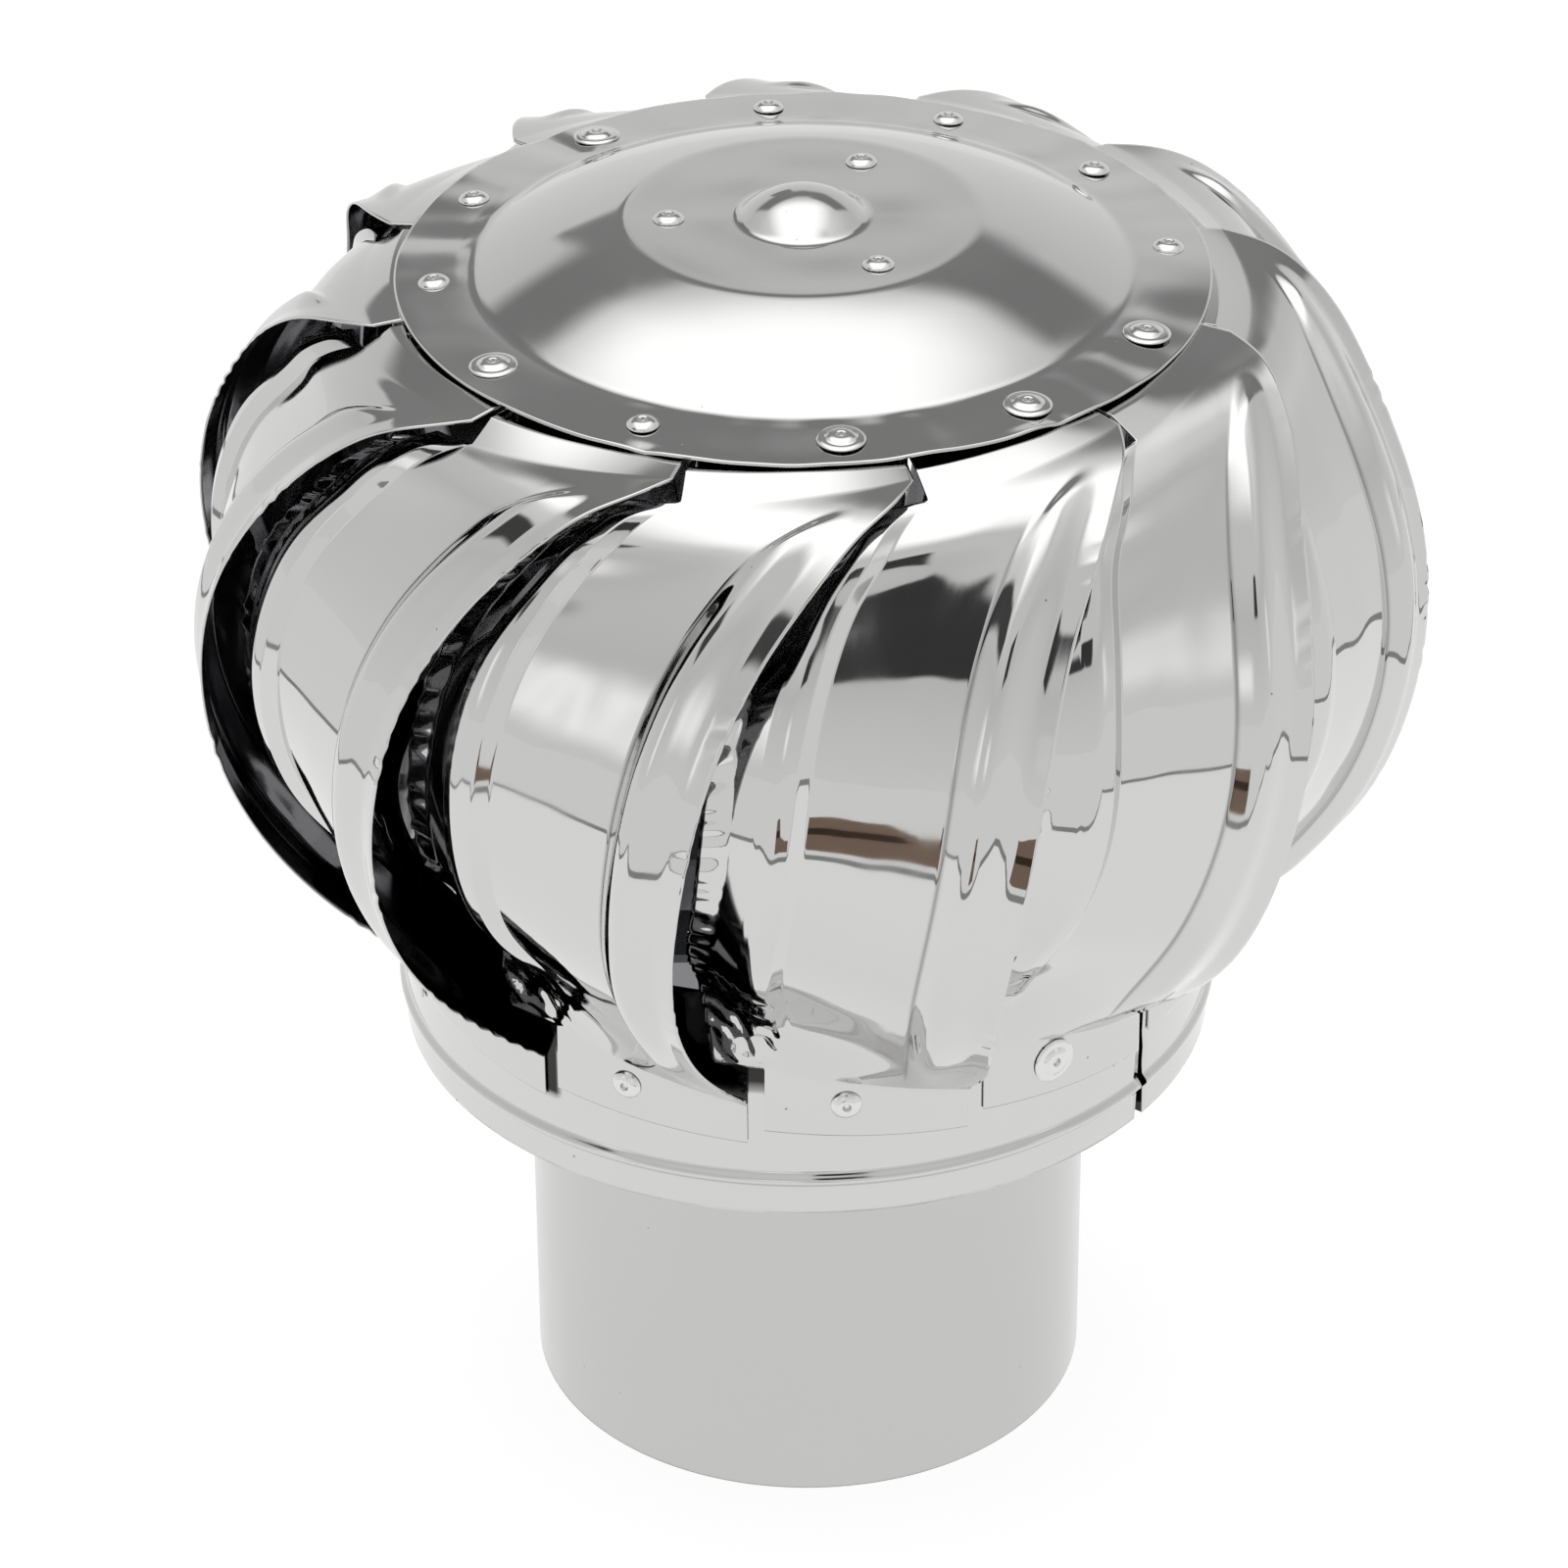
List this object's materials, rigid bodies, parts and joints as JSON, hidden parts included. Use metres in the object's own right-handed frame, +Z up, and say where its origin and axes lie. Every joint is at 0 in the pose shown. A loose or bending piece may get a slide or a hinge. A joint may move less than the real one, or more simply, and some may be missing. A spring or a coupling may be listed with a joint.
{
  "type": "rotating chimney cowl",
  "caption": "Round flue collar under a free-spinning head of curved, ribbed sheet-metal blades between a split ring and a shallow domed cap.",
  "frame": {"origin": "centre of the collar's lower end, on the spindle axis", "axes": "+Z up along the spindle, -Y to the front"},
  "size_m": [0.3168, 0.3168, 0.3507],
  "materials": {
    "collar_sheet": "satin stainless sheet",
    "ring_sheet": "mirror stainless sheet",
    "cap_sheet": "mirror stainless sheet",
    "blade_sheet": "mirror stainless sheet",
    "rivet_steel": "bright blind rivets",
    "plated_steel": "zinc-plated steel",
    "bearing_steel": "ground and polished steel",
    "cage_steel": "pressed steel"
  },
  "bodies": {
    "base": {"collar": "collar_sheet", "lower_strap": "plated_steel", "upper_strap": "plated_steel", "spindle": "plated_steel", "clamp_washer_lower": "plated_steel", "clamp_washer_upper": "plated_steel", "clamp_nut_lower": "plated_steel", "clamp_nut_upper": "plated_steel", "spindle_circlip": "plated_steel", "lower_bearing_inner": "bearing_steel", "upper_bearing_inner": "bearing_steel", "spindle_top_nut": "plated_steel"},
    "rotor": {"turbine_ring": "ring_sheet", "top_cap": "cap_sheet", "lower_spider": "plated_steel", "upper_bearing_housing": "plated_steel", "lower_bearing_outer": "bearing_steel", "upper_bearing_outer": "bearing_steel", "cap_rivets_large": "rivet_steel", "cap_rivets_small": "rivet_steel", "ring_rivets_large": "rivet_steel", "ring_rivets_small": "rivet_steel", "plateau_rivets": "rivet_steel", "blade_01": "blade_sheet", "blade_02": "blade_sheet", "blade_03": "blade_sheet", "blade_04": "blade_sheet", "blade_05": "blade_sheet", "blade_06": "blade_sheet", "blade_07": "blade_sheet", "blade_08": "blade_sheet", "blade_09": "blade_sheet", "blade_10": "blade_sheet", "blade_11": "blade_sheet", "blade_12": "blade_sheet"},
    "lower_ball_set": {"lower_bearing_balls": "bearing_steel", "lower_bearing_cage": "cage_steel"},
    "upper_ball_set": {"upper_bearing_balls": "bearing_steel", "upper_bearing_cage": "cage_steel"}
  },
  "joints": [
    {"name": "rotor_spin", "type": "hinge", "parent": "base", "child": "rotor", "pos_m": [0, 0, 0.156], "axis": [0, 0, 1], "continuous": true},
    {"name": "lower_balls_roll", "type": "hinge", "parent": "base", "child": "lower_ball_set", "pos_m": [0, 0, 0.156], "axis": [0, 0, 1], "continuous": true},
    {"name": "upper_balls_roll", "type": "hinge", "parent": "base", "child": "upper_ball_set", "pos_m": [0, 0, 0.336], "axis": [0, 0, 1], "continuous": true}
  ],
  "couplings": [
    {"joint": "lower_balls_roll", "follows": "rotor_spin", "ratio": 0.6355},
    {"joint": "upper_balls_roll", "follows": "rotor_spin", "ratio": 0.619}
  ]
}
